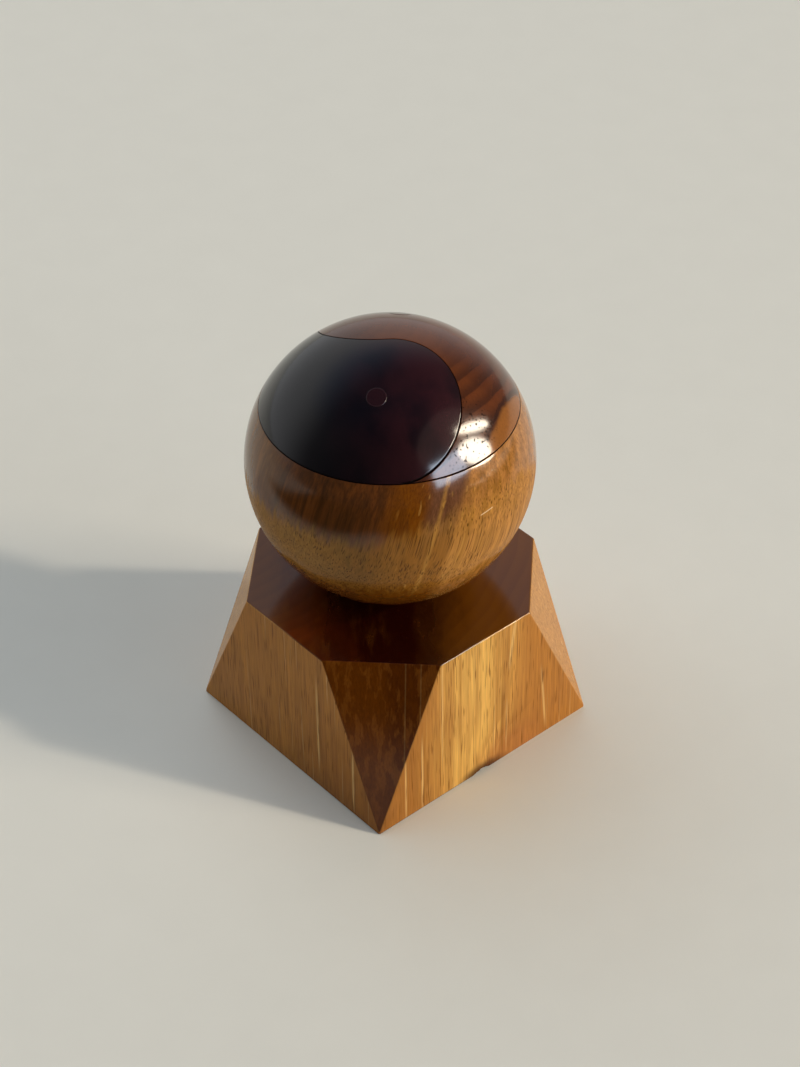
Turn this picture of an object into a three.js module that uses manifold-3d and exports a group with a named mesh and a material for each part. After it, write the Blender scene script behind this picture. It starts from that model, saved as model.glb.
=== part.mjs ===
// A turned wooden sphere on a faceted wooden block.
//
// The block is square at the foot and a regular octagon on top: its four sides stand upright, and
// each corner is sawn off by one sloping cut that starts at the foot's corner and opens upwards.
// The sphere sits in a shallow dish in the top of the block. It is made of a bowl-shaped lower
// part and a cap, and the cap is parted by an upright S-shaped cut into two equal comma-shaped
// halves, one dark and one brown. Each half carries a small round plug.
//
// Units are millimetres, +Z is up, and the origin is the middle of the block's foot.
// The block's sides face +X, -X, +Y and -Y.

import * as THREE from 'three';
import { ConvexGeometry } from 'three/addons/geometries/ConvexGeometry.js';
import { mergeVertices } from 'three/addons/utils/BufferGeometryUtils.js';
import Module from 'manifold-3d';

// ---------------------------------------------------------------- driving dimensions

const GAP = 0.3; // clearance between neighbouring pieces, which shows as a thin dark seam

const BLOCK_SIDE = 101.6; // across the foot, and across the flats of the octagonal top
const BLOCK_HEIGHT = 64;

const SPHERE_RADIUS = 51.3;
const SEAT_SINK = 0.5; // how far the sphere's lowest point lies below the top of the block
const SEAM_HEIGHT = 0.467 * SPHERE_RADIUS; // the flat seam under the cap, above the sphere's centre

const LOBE_TURN = THREE.MathUtils.degToRad(-36); // the way the dark half's round head points, from +X
const PLUG_TURN = THREE.MathUtils.degToRad(-14); // the plug's place, from its own half's head
const PLUG_REACH = 0.483 * SPHERE_RADIUS; // the plug's distance from the sphere's upright axis
const PLUG_RADIUS = 3.55;
const PLUG_LENGTH = 6;

// The knocked-out chip in the lower edge of the +X side.
const CHIP_CENTRE_Y = -1;
const CHIP_HALF_SIZES = new THREE.Vector3(1.3, 4.4, 1.5);

const SPHERE_SEGMENTS = 64;
const ARC_SEGMENTS = 24; // straight steps along each half circle of the S
const PLUG_SEGMENTS = 24;
const CHIP_SEGMENTS = 12;

// ---------------------------------------------------------------- worked-out sizes

const SPHERE_CENTRE_Z = BLOCK_HEIGHT + SPHERE_RADIUS - SEAT_SINK;
const SEAM_RADIUS = Math.sqrt(SPHERE_RADIUS ** 2 - SEAM_HEIGHT ** 2);
const OVERCUT = 10; // how far the cutting shapes run past what they cut

// ---------------------------------------------------------------- joining and cutting

const wasm = await Module();
wasm.setup();

/** A closed geometry as a solid, after an optional placing matrix. */
function solidOf(geometry, matrix = new THREE.Matrix4()) {
  const bare = geometry.clone().applyMatrix4(matrix);
  bare.deleteAttribute('normal');
  bare.deleteAttribute('uv');
  const merged = mergeVertices(bare, 1e-4);
  return new wasm.Manifold(new wasm.Mesh({
    numProp: 3,
    vertProperties: Float32Array.from(merged.attributes.position.array),
    triVerts: Uint32Array.from(merged.index.array),
  }));
}

/** A solid as a geometry with flat faces. */
function geometryOf(solid) {
  const mesh = solid.getMesh();
  const geometry = new THREE.BufferGeometry();
  geometry.setAttribute('position', new THREE.BufferAttribute(Float32Array.from(mesh.vertProperties), 3));
  geometry.setIndex(new THREE.BufferAttribute(Uint32Array.from(mesh.triVerts), 1));
  geometry.computeVertexNormals();
  return geometry;
}

// ---------------------------------------------------------------- shapes

/** A ball about the origin with its poles on Z. */
function ball(radius, segments = SPHERE_SEGMENTS) {
  return new THREE.SphereGeometry(radius, segments, segments / 2).rotateX(Math.PI / 2);
}

/** An upright box that reaches from one height to another and covers the whole sphere. */
function slab(fromZ, toZ) {
  const width = 2 * (SPHERE_RADIUS + OVERCUT);
  return new THREE.BoxGeometry(width, width, toZ - fromZ).translate(0, 0, (fromZ + toZ) / 2);
}

/**
 * The plan of one comma-shaped half, its head towards +X: the -Y half disc, plus the head's half
 * disc, less the half disc of the other half's head. Half the gap is taken off along the S.
 */
function commaPlan() {
  const half = SEAM_RADIUS / 2;
  const outer = SPHERE_RADIUS + OVERCUT;
  const plan = new THREE.Shape();
  plan.absarc(0, 0, outer, Math.PI, 2 * Math.PI, false);
  plan.absarc(half, 0, half - GAP / 2, 0, Math.PI, false);
  plan.absarc(-half, 0, half + GAP / 2, 0, -Math.PI, true);
  plan.closePath();
  return plan;
}

/** Where a plug lies in its half, seen from the sphere's centre: its own Z runs out along the radius. */
function plugPlace() {
  const polar = Math.asin(PLUG_REACH / SPHERE_RADIUS);
  return new THREE.Matrix4()
    .makeRotationZ(PLUG_TURN)
    .multiply(new THREE.Matrix4().makeRotationY(polar));
}

/** A round bar on the plug's axis that starts at a depth under the sphere's surface and runs out of it. */
function plugBar(radius, depth) {
  const length = depth + OVERCUT;
  const bar = new THREE.CylinderGeometry(radius, radius, length, PLUG_SEGMENTS).rotateX(Math.PI / 2);
  return bar.translate(0, 0, SPHERE_RADIUS - depth + length / 2);
}

// ---------------------------------------------------------------- pieces

/** The block: a square foot below and a regular octagon above, joined by flat faces. */
function blockSolid() {
  const edge = BLOCK_SIDE / 2;
  const flat = edge * Math.tan(Math.PI / 8); // half of one side of the octagon
  const corners = [];
  for (const sx of [-1, 1]) {
    for (const sy of [-1, 1]) {
      corners.push(new THREE.Vector3(sx * edge, sy * edge, 0));
      corners.push(new THREE.Vector3(sx * edge, sy * flat, BLOCK_HEIGHT));
      corners.push(new THREE.Vector3(sx * flat, sy * edge, BLOCK_HEIGHT));
    }
  }
  const dish = new THREE.Matrix4().makeTranslation(0, 0, SPHERE_CENTRE_Z);
  const chip = new THREE.Matrix4()
    .makeTranslation(edge, CHIP_CENTRE_Y, 0)
    .scale(CHIP_HALF_SIZES);
  return solidOf(new ConvexGeometry(corners))
    .subtract(solidOf(ball(SPHERE_RADIUS + GAP), dish))
    .subtract(solidOf(ball(1, CHIP_SEGMENTS), chip));
}

/** The sphere below the seam, about the sphere's own centre. */
function bowlSolid() {
  const below = slab(-SPHERE_RADIUS - OVERCUT, SEAM_HEIGHT - GAP / 2);
  return solidOf(ball(SPHERE_RADIUS)).intersect(solidOf(below));
}

/** One half of the cap, its head towards +X, about the sphere's own centre. */
function capHalfSolid() {
  const height = SPHERE_RADIUS + OVERCUT;
  const prism = new THREE.ExtrudeGeometry(commaPlan(), {
    depth: height,
    bevelEnabled: false,
    curveSegments: ARC_SEGMENTS,
  }).translate(0, 0, SEAM_HEIGHT + GAP / 2);
  return solidOf(ball(SPHERE_RADIUS))
    .intersect(solidOf(prism))
    .subtract(solidOf(plugBar(PLUG_RADIUS + GAP, PLUG_LENGTH + GAP), plugPlace()));
}

/** The plug of one half, flush with the sphere. */
function plugSolid() {
  return solidOf(plugBar(PLUG_RADIUS, PLUG_LENGTH), plugPlace()).intersect(solidOf(ball(SPHERE_RADIUS)));
}

// ---------------------------------------------------------------- materials

const blockWood = new THREE.MeshStandardMaterial({ color: 0x9a5f2a, roughness: 0.4, metalness: 0 });
const bowlWood = new THREE.MeshStandardMaterial({ color: 0x8f5a2b, roughness: 0.3, metalness: 0 });
const brownWood = new THREE.MeshStandardMaterial({ color: 0x6e3f22, roughness: 0.25, metalness: 0 });
const darkWood = new THREE.MeshStandardMaterial({ color: 0x1d0f14, roughness: 0.25, metalness: 0 });

// ---------------------------------------------------------------- the object

/** One named piece. */
function piece(name, solid, material) {
  const mesh = new THREE.Mesh(geometryOf(solid), material);
  mesh.name = name;
  return mesh;
}

/** One half of the cap with its plug, its head turned from +X about the sphere's upright axis. */
function capHalf(name, turn, material) {
  const half = new THREE.Group();
  half.add(piece(`${name}_cap_half`, capHalfSolid(), material));
  half.add(piece(`${name}_plug`, plugSolid(), material));
  half.rotation.z = turn;
  return half;
}

const sphere = new THREE.Group();
sphere.position.z = SPHERE_CENTRE_Z;
sphere.add(piece('sphere_bowl', bowlSolid(), bowlWood));
sphere.add(capHalf('dark', LOBE_TURN, darkWood));
sphere.add(capHalf('brown', LOBE_TURN + Math.PI, brownWood));

const object = new THREE.Group();
object.add(piece('faceted_block', blockSolid(), blockWood));
object.add(sphere);

export default object;
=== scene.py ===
"""A turned wooden ball with an S-parted cap, standing on a faceted wooden block.

The block and the ball are solid wood with the fibres running roughly upright. The cap of the ball
is two comma-shaped halves, one near black and one red-brown, each with a small plug. Sizes are in
metres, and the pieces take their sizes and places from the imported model.
"""

import logging
import math
from dataclasses import dataclass
from enum import Enum
from functools import partial
from typing import Any, Callable, Sequence, Union

import bmesh
import bpy
from mathutils import Matrix, Vector


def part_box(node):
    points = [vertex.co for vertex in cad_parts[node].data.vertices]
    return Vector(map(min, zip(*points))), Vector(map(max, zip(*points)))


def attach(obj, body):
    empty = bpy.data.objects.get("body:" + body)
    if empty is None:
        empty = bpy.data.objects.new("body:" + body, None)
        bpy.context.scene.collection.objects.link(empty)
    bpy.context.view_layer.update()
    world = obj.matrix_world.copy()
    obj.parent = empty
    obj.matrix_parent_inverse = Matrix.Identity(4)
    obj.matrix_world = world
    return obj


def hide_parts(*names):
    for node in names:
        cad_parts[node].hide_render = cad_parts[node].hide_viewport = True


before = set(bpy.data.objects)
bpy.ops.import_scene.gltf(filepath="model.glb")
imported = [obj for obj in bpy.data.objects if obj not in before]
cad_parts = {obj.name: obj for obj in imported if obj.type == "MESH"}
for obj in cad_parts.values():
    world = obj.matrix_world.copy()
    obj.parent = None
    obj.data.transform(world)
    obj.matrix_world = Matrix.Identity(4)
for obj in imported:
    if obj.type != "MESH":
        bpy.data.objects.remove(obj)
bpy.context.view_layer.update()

BODY = "root"
MM = 0.001
WELD = 0.001 * MM
# Seen from the front, a place lies as far to the right as its X in axes turned by this angle.
FRONT_TURN = 49.6

log = logging.getLogger("ball_on_block")

Number = Union[int, float]
Colour = tuple[float, float, float]
Size = tuple[float, float, float]
Paint = Union[bpy.types.NodeSocket, Colour]


# ---------------------------------------------------------------- shader wiring


class Signal:
    """A number that a shader socket carries; Python's operators on it add Math nodes."""

    def __init__(self, graph: "Graph", socket: bpy.types.NodeSocket) -> None:
        """Keeps the socket and the graph it belongs to."""
        self.graph = graph
        self.socket = socket

    def _maths(self, operation: str, first: "Operand", second: "Operand" = 0.0) -> "Signal":
        """Adds one Math node and returns its output."""
        node = self.graph.node("ShaderNodeMath", {"operation": operation}, {0: first, 1: second})
        return Signal(self.graph, node.outputs[0])

    def __add__(self, other: "Operand") -> "Signal":
        """This plus the other."""
        return self._maths("ADD", self, other)

    __radd__ = __add__

    def __sub__(self, other: "Operand") -> "Signal":
        """This less the other."""
        return self._maths("SUBTRACT", self, other)

    def __rsub__(self, other: "Operand") -> "Signal":
        """The other less this."""
        return self._maths("SUBTRACT", other, self)

    def __mul__(self, other: "Operand") -> "Signal":
        """This times the other."""
        return self._maths("MULTIPLY", self, other)

    __rmul__ = __mul__

    def __pow__(self, power: "Operand") -> "Signal":
        """This raised to a power."""
        return self._maths("POWER", self, power)

    def __abs__(self) -> "Signal":
        """This without its sign."""
        return self._maths("ABSOLUTE", self)

    def fraction(self) -> "Signal":
        """The part after the decimal point, from 0 to 1."""
        return self._maths("FRACT", self)

    def root(self) -> "Signal":
        """The square root."""
        return self._maths("SQRT", self)

    def larger(self, other: "Operand") -> "Signal":
        """The larger of this and the other."""
        return self._maths("MAXIMUM", self, other)

    def step(self, low: float, high: float) -> "Signal":
        """A smooth step from 0 at low to 1 at high; it falls instead where low is above high.

        Args:
            low: the value that gives 0.
            high: the value that gives 1.

        Returns:
            The step, from 0 to 1.
        """
        rising = low < high
        inputs = {
            "Value": self,
            "From Min": min(low, high),
            "From Max": max(low, high),
            "To Min": 0.0 if rising else 1.0,
            "To Max": 1.0 if rising else 0.0,
        }
        settings = {"interpolation_type": "SMOOTHSTEP", "clamp": True}
        return Signal(self.graph, self.graph.node("ShaderNodeMapRange", settings, inputs).outputs[0])

    def hump(self, middle: float, half_width: float) -> "Signal":
        """A smooth hump, 1 at the middle and 0 from a half width away."""
        return abs(self - middle).step(half_width, 0.0)


Operand = Union[Signal, Number]


@dataclass(frozen=True)
class Place:
    """A point in a shader, as its three numbers."""

    x: Signal
    y: Signal
    z: Signal

    def reach(self, x: float, y: float) -> Signal:
        """The level distance from an upright line through x, y."""
        across, along = self.x - x, self.y - y
        return (across * across + along * along).root()

    def distance(self, point: Sequence[float]) -> Signal:
        """The distance from a point."""
        across, along, up = self.x - point[0], self.y - point[1], self.z - point[2]
        return (across * across + along * along + up * up).root()

    def leaned(self, lean_x: float, lean_y: float, level: float = 0.0) -> "Place":
        """The point with the fibres' lean taken out, so that leaning fibres stand upright.

        Args:
            lean_x: how far the fibres run towards +X for each metre they rise.
            lean_y: the same towards +Y.
            level: the height at which nothing moves.

        Returns:
            The moved point.
        """
        rise = self.z - level
        return Place(self.x - rise * lean_x, self.y - rise * lean_y, self.z)

    def turned(self, degrees: float) -> "Place":
        """The point in axes that are turned about the upright."""
        cos, sin = math.cos(math.radians(degrees)), math.sin(math.radians(degrees))
        return Place(self.x * cos + self.y * sin, self.y * cos - self.x * sin, self.z)


class Graph:
    """The node tree of one material or of the world."""

    def __init__(self, tree: bpy.types.NodeTree) -> None:
        """Clears the tree and starts on it."""
        self.tree = tree
        tree.nodes.clear()

    def node(
        self, kind: str, settings: dict[str, Any], inputs: dict[Union[str, int], Any]
    ) -> bpy.types.Node:
        """Adds a node.

        Args:
            kind: the node's type.
            settings: its own settings, which are set first.
            inputs: a value, a Signal or a socket for each input, by name or by place.

        Returns:
            The node.
        """
        made = self.tree.nodes.new(kind)
        for name, value in settings.items():
            setattr(made, name, value)
        for name, value in inputs.items():
            socket = made.inputs[name]
            if isinstance(value, Signal):
                self.tree.links.new(value.socket, socket)
            elif isinstance(value, bpy.types.NodeSocket):
                self.tree.links.new(value, socket)
            else:
                socket.default_value = value
        return made

    def split(self, vector: bpy.types.NodeSocket) -> Place:
        """A vector socket as its three numbers."""
        parts = self.node("ShaderNodeSeparateXYZ", {}, {0: vector})
        return Place(*(Signal(self, parts.outputs[i]) for i in range(3)))

    def vector(self, x: Operand, y: Operand, z: Operand) -> bpy.types.NodeSocket:
        """Three numbers as a vector socket."""
        return self.node("ShaderNodeCombineXYZ", {}, {0: x, 1: y, 2: z}).outputs[0]

    def here(self) -> Place:
        """The shaded point in the object's own axes."""
        return self.split(self.node("ShaderNodeTexCoord", {}, {}).outputs["Object"])

    def facing(self) -> Place:
        """The way the surface faces."""
        return self.split(self.node("ShaderNodeNewGeometry", {}, {}).outputs["Normal"])

    def noise(
        self, at: Place, size: Size, seed: float, detail: float = 2.0, rough: float = 0.5
    ) -> Signal:
        """Soft noise from 0 to 1.

        Args:
            at: where it is read.
            size: the length of one blob along each axis.
            seed: moves the pattern, so that no two are alike.
            detail: how many finer layers it has.
            rough: how strong the finer layers are.

        Returns:
            The noise.
        """
        scaled = self.vector(
            at.x * (1.0 / size[0]) + seed, at.y * (1.0 / size[1]) - seed, at.z * (1.0 / size[2])
        )
        inputs = {"Vector": scaled, "Scale": 1.0, "Detail": detail, "Roughness": rough}
        return Signal(self, self.node("ShaderNodeTexNoise", {}, inputs).outputs[0])

    def mix(self, factor: Operand, first: Paint, second: Paint) -> bpy.types.NodeSocket:
        """A second colour laid over a first one, as far as the factor says.

        Args:
            factor: 0 leaves the first colour and 1 covers it.
            first: the colour below.
            second: the colour above.

        Returns:
            The mixed colour's socket.
        """
        plain = [(*c, 1.0) if isinstance(c, tuple) else c for c in (first, second)]
        settings = {"data_type": "RGBA", "clamp_factor": True}
        return self.node("ShaderNodeMix", settings, {0: factor, 6: plain[0], 7: plain[1]}).outputs[2]

    def stain(
        self, ground: bpy.types.NodeSocket, *coats: tuple[Signal, Operand, Paint]
    ) -> bpy.types.NodeSocket:
        """A colour with others laid over it one after another.

        Args:
            ground: the colour under them all.
            coats: for each further colour, where it lies, how strong it is and the colour itself.

        Returns:
            The colour on top.
        """
        colour = ground
        for where, strength, paint in coats:
            colour = self.mix(where * strength, colour, paint)
        return colour

    def shade(self, colour: Paint, factor: Signal) -> bpy.types.NodeSocket:
        """A colour made lighter or darker by a factor."""
        inputs = {0: colour, 1: self.vector(factor, factor, factor)}
        return self.node("ShaderNodeVectorMath", {"operation": "MULTIPLY"}, inputs).outputs[0]

    def bump(
        self, height: Signal, depth: float, under: bpy.types.NodeSocket | None = None
    ) -> bpy.types.NodeSocket:
        """A bumpy normal.

        Args:
            height: the relief, from 0 to 1.
            depth: how deep the relief is, in metres.
            under: another normal that this one lies on.

        Returns:
            The normal's socket.
        """
        inputs = {"Strength": 1.0, "Distance": depth, "Height": height}
        if under is not None:
            inputs["Normal"] = under
        return self.node("ShaderNodeBump", {}, inputs).outputs[0]


# ---------------------------------------------------------------- wood


@dataclass(frozen=True)
class Fibres:
    """How a piece of wood grew: its rings, strands and pores, with the fibres nearly upright."""

    seed: float
    heart: tuple[float, float] = (0.0, 0.0)
    ring_width: float = 0.005
    wander: float = 1.1
    pore_share: float = 0.5
    drift_size: Size = (0.05, 0.05, 0.16)
    strand_size: Size = (0.0021, 0.0021, 0.1)
    hair_size: Size = (0.00065, 0.00065, 0.02)
    pore_size: Size = (0.00042, 0.00042, 0.011)
    crowd_size: Size = (0.006, 0.006, 0.06)
    line_size: Size = (0.0016, 0.0016, 0.075)

    def rings(self, graph: Graph, at: Place, swell: Operand = 0.0) -> Signal:
        """The dark late wood of the yearly rings, from 0 to 1.

        Args:
            graph: the material's graph.
            at: the shaded point, with any lean of the fibres taken out.
            swell: pushes the rings outwards, in years.

        Returns:
            The late wood.
        """
        drift = graph.noise(at, self.drift_size, self.seed) - 0.5
        years = at.reach(*self.heart) * (1.0 / self.ring_width) + drift * (2.0 * self.wander) + swell
        year = years.fraction()
        return year.step(0.15, 0.86) * year.step(1.0, 0.9)

    def strands(self, graph: Graph, at: Place) -> Signal:
        """Long soft strands, from 0 to 1."""
        return graph.noise(at, self.strand_size, self.seed + 3.1, 3.0, 0.62)

    def hairs(self, graph: Graph, at: Place) -> Signal:
        """Fine short strands, from 0 to 1."""
        return graph.noise(at, self.hair_size, self.seed + 7.7, 2.0, 0.6)

    def pores(self, graph: Graph, at: Place) -> Signal:
        """The open pores: dark dashes along the fibres, dots across them.

        Args:
            graph: the material's graph.
            at: the shaded point, with any lean of the fibres taken out.

        Returns:
            The pores, from 0 to 1.
        """
        spots = graph.noise(at, self.pore_size, self.seed + 11.3, 0.0)
        crowd = graph.noise(at, self.crowd_size, self.seed + 15.9, 1.0)
        return (spots + crowd * (0.24 * self.pore_share)).step(0.70, 0.82)

    def pale_lines(self, graph: Graph, at: Place) -> Signal:
        """Sparse pale lines along the fibres."""
        return graph.noise(at, self.line_size, self.seed + 21.7, 1.0).step(0.66, 0.76)


@dataclass(frozen=True)
class Vein:
    """One strand that shows as a single line: an upright pencil of wood through x, y."""

    x: float
    y: float
    low: float
    high: float
    width: float
    lean: tuple[float, float] = (0.0, 0.0)

    def mask(self, at: Place) -> Signal:
        """Where the vein shows, from 0 to 1.

        Args:
            at: the shaded point.

        Returns:
            The mask.
        """
        straight = at.leaned(*self.lean, level=(self.low + self.high) / 2)
        fade = (self.high - self.low) / 5
        ends = at.z.step(self.low - fade, self.low + fade) * at.z.step(self.high + fade, self.high - fade)
        return straight.reach(self.x, self.y).step(self.width, 0.0) * ends


@dataclass(frozen=True)
class Lacquer:
    """The clear finish over the wood, and the gloss of the bare wood under it."""

    roughness: float
    weight: float = 1.0
    refraction: float = 1.5
    wood_gloss: float = 0.0

    def finish(
        self,
        graph: Graph,
        colour: bpy.types.NodeSocket,
        sheen: float,
        normal: bpy.types.NodeSocket,
        weight: Signal | None = None,
    ) -> None:
        """Ends a wood material.

        Args:
            graph: the material's graph.
            colour: the wood's colour.
            sheen: the roughness of the wood under the finish.
            normal: the surface with its relief.
            weight: how much finish lies on each place, where that varies.
        """
        inputs = {
            "Base Color": colour,
            "Roughness": sheen,
            "IOR": self.refraction,
            "Specular IOR Level": self.wood_gloss,
            "Coat Weight": self.weight if weight is None else weight,
            "Coat Roughness": self.roughness,
            "Coat IOR": self.refraction,
            "Normal": normal,
        }
        shader = graph.node("ShaderNodeBsdfPrincipled", {}, inputs)
        graph.node("ShaderNodeOutputMaterial", {}, {"Surface": shader.outputs[0]})


def new_material(name: str) -> tuple[bpy.types.Material, Graph]:
    """An empty node material and its graph.

    Args:
        name: the material's name.

    Returns:
        The material and its graph.
    """
    made = bpy.data.materials.new(name)
    made.use_nodes = True
    return made, Graph(made.node_tree)


@dataclass(frozen=True)
class BlockWood:
    """The block: golden brown with upright strands, and dark glossy end grain on top."""

    side: float
    chip_y: float
    chip_squash: tuple[float, float] = (0.28, 0.75)
    facet_lines: tuple[float, float] = (8.6 * MM, 14.0 * MM)
    fibres: Fibres = Fibres(seed=2.0, heart=(-0.075, -0.035), ring_width=0.0052, pore_share=0.55)
    gold: Colour = (0.87, 0.53, 0.135)
    honey: Colour = (0.49, 0.205, 0.032)
    straw: Colour = (0.86, 0.58, 0.22)
    tawny: Colour = (0.36, 0.145, 0.024)
    umber: Colour = (0.22, 0.075, 0.010)
    russet: Colour = (0.45, 0.175, 0.042)
    amber: Colour = (0.098, 0.025, 0.0008)
    chocolate: Colour = (0.063, 0.0145, 0.001)
    pore: Colour = (0.19, 0.07, 0.007)
    chip_black: Colour = (0.012, 0.004, 0.002)
    # The near black of the painted shade under the ball, also used for the rings.
    end_shade_and_rings: Colour = (0.018, 0.0016, 0.0008)
    end_left: Colour = (0.10, 0.018, 0.0015)
    end_right: Colour = (0.16, 0.052, 0.003)
    lacquer: Lacquer = Lacquer(roughness=0.11)

    def pale_veins(self) -> list[Vein]:
        """The single pale strands on the two front sides.

        Returns:
            The strands.
        """
        edge = self.side / 2
        return [
            Vein(edge, -38.0 * MM, 0.0, 27 * MM, 0.7 * MM),
            Vein(edge, -30.2 * MM, 0.0, 32 * MM, 0.8 * MM),
            Vein(edge, -20.6 * MM, 20 * MM, 66 * MM, 0.6 * MM),
            Vein(edge, 29.0 * MM, 6 * MM, 32 * MM, 0.9 * MM, (0.0, -0.09)),
            Vein(edge, 13.0 * MM, 44 * MM, 66 * MM, 1.3 * MM, (0.0, 0.12)),
            Vein(17.6 * MM, -edge, 12 * MM, 49 * MM, 0.9 * MM),
            Vein(36.8 * MM, -edge, 4 * MM, 30 * MM, 1.0 * MM),
        ]

    def dark_veins(self) -> list[Vein]:
        """The single dark strands on the two front sides.

        Returns:
            The strands.
        """
        edge = self.side / 2
        return [
            Vein(edge, -27.6 * MM, 10 * MM, 22 * MM, 1.0 * MM),
            Vein(edge, 8.5 * MM, 4 * MM, 34 * MM, 1.1 * MM),
            Vein(18.8 * MM, -edge, 18 * MM, 47 * MM, 0.8 * MM),
            Vein(37.8 * MM, -edge, 6 * MM, 20 * MM, 0.8 * MM),
            Vein(-15.3 * MM, -edge, 46 * MM, 58 * MM, 0.8 * MM),
            Vein(-30.2 * MM, -edge, 26 * MM, 43 * MM, 1.0 * MM),
            Vein(0.4 * MM, -edge, 22 * MM, 36 * MM, 0.8 * MM),
        ]

    def sides(
        self, graph: Graph, at: Place, flame: Signal, rings: Signal, pores: Signal
    ) -> bpy.types.NodeSocket:
        """The colour of the long grain on the sides.

        Args:
            graph: the material's graph.
            at: the shaded point.
            flame: the reddish flame at the foot of the +X side.
            rings: the late wood of the yearly rings.
            pores: the open pores.

        Returns:
            The colour.
        """
        edge = self.side / 2
        on_x_side = at.x.step(edge - 12 * MM, edge - 2 * MM)
        near_foot = at.y.step(-44 * MM, -50 * MM) * at.z.step(56 * MM, 4 * MM)
        strands = self.fibres.strands(graph, at)
        cloud = graph.noise(at, (0.03, 0.03, 0.05), 4.4)
        return graph.stain(
            graph.mix(on_x_side * at.y.hump(-8 * MM, 34 * MM), self.honey, self.gold),
            (strands.step(0.62, 0.34), 0.55, self.tawny),
            (rings, flame * 0.3 + 0.3, self.tawny),
            (cloud.step(0.45, 0.7), 0.25, self.russet),
            (on_x_side * at.y.step(-8 * MM, -34 * MM), 0.8, self.tawny),
            (on_x_side * at.y.step(7 * MM, 20 * MM), 0.12, self.russet),
            (flame.step(0.05, 0.75), 0.8, self.russet),
            (near_foot * at.x.step(-20 * MM, 34 * MM), 0.6, self.umber),
            (self.fibres.pale_lines(graph, at), 0.3, self.straw),
            *((vein.mask(at), 0.55, self.straw) for vein in self.pale_veins()),
            *((vein.mask(at), 0.6, self.pore) for vein in self.dark_veins()),
            (pores, 0.8, self.pore),
        )

    def facets(self, graph: Graph, at: Place, sides: bpy.types.NodeSocket) -> bpy.types.NodeSocket:
        """The colour of the corner facets: dark heartwood in front, paler side wood elsewhere.

        Args:
            graph: the material's graph.
            at: the shaded point.
            sides: the colour of the sides.

        Returns:
            The colour.
        """
        corner = at.turned(-45)
        drift = (graph.noise(at, (0.02, 0.02, 0.04), 8.8) - 0.5) * (5 * MM)
        streaks = graph.noise(at, (0.0028, 0.0028, 0.09), 9.9, 3.0, 0.6)
        heartwood = graph.stain(
            graph.mix((corner.y + drift).step(-1 * MM, 5 * MM), self.amber, self.chocolate),
            (streaks.step(0.45, 0.7), 0.6, self.amber),
            (streaks.step(0.52, 0.4), 0.35, self.umber),
            (at.z.step(34 * MM, 6 * MM), 0.5, self.chocolate),
            *((corner.y.hump(line, 0.45 * MM), 0.07, self.straw) for line in self.facet_lines),
        )
        in_front = corner.x.step(30 * MM, 44 * MM)
        return graph.mix(in_front, graph.mix(0.15, sides, self.straw), heartwood)

    def end_grain(self, graph: Graph, at: Place, rings: Signal) -> bpy.types.NodeSocket:
        """The colour of the end grain on top: near black in the middle as painted shade under the ball,
        browner towards the sides.

        Args:
            graph: the material's graph.
            at: the shaded point.
            rings: the late wood of the yearly rings.

        Returns:
            The colour.
        """
        across = at.turned(FRONT_TURN)
        smoke = graph.noise(across, (0.012, 0.03, 0.05), 31.0, 4.0, 0.62)
        wiped = graph.noise(across, (0.004, 0.016, 0.05), 37.0, 3.0, 0.6)
        place = across.x + (smoke - 0.5) * (22 * MM)
        # The middle is painted near black as shade under the ball, with browner wood to each side.
        return graph.stain(
            graph.mix(place.step(-12 * MM, -34 * MM), self.end_shade_and_rings, self.end_left),
            (place.step(6 * MM, 34 * MM), 1.0, self.end_right),
            # Paler brown at the far left: partly the wood and partly a painted sheen.
            (place.step(-34 * MM, -46 * MM), 0.6, self.end_right),
            (rings, 0.12, self.end_shade_and_rings),
            (wiped.step(0.5, 0.72), 0.2, self.end_right),
        )

    def chip_marks(
        self, graph: Graph, at: Place, colour: bpy.types.NodeSocket
    ) -> bpy.types.NodeSocket:
        """The colour with the inside of the chip near black and a dark smear on each side of it.

        Args:
            graph: the material's graph.
            at: the shaded point.
            colour: the colour of the sound wood.

        Returns:
            The colour.
        """
        edge = self.side / 2
        on_face = at.x.step(edge - 3 * MM, edge - 1.5 * MM)
        below_face = at.x.step(edge - 0.03 * MM, edge - 0.12 * MM) * at.x.step(40 * MM, 45 * MM)
        # Squashed lengthwise and less in height, the long low chip becomes a round one.
        lengthwise, upright = self.chip_squash
        reach = (((at.y - self.chip_y) * lengthwise) ** 2.0 + (at.z * upright) ** 2.0).root()
        return graph.stain(
            colour,
            (on_face * reach.step(4.2 * MM, 1.2 * MM), 0.9, self.chocolate),
            (below_face * reach.step(1.9 * MM, 1.5 * MM), 1.0, self.chip_black),
        )

    def material(self) -> bpy.types.Material:
        """Builds the material.

        Returns:
            The material.
        """
        made, graph = new_material("block_wood")
        at, facing, edge = graph.here(), graph.facing(), self.side / 2
        # How level a face lies tells the upright sides, the sloping facets and the top apart.
        slope, end = abs(facing.z).step(0.12, 0.28), abs(facing.z).step(0.72, 0.97)
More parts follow.
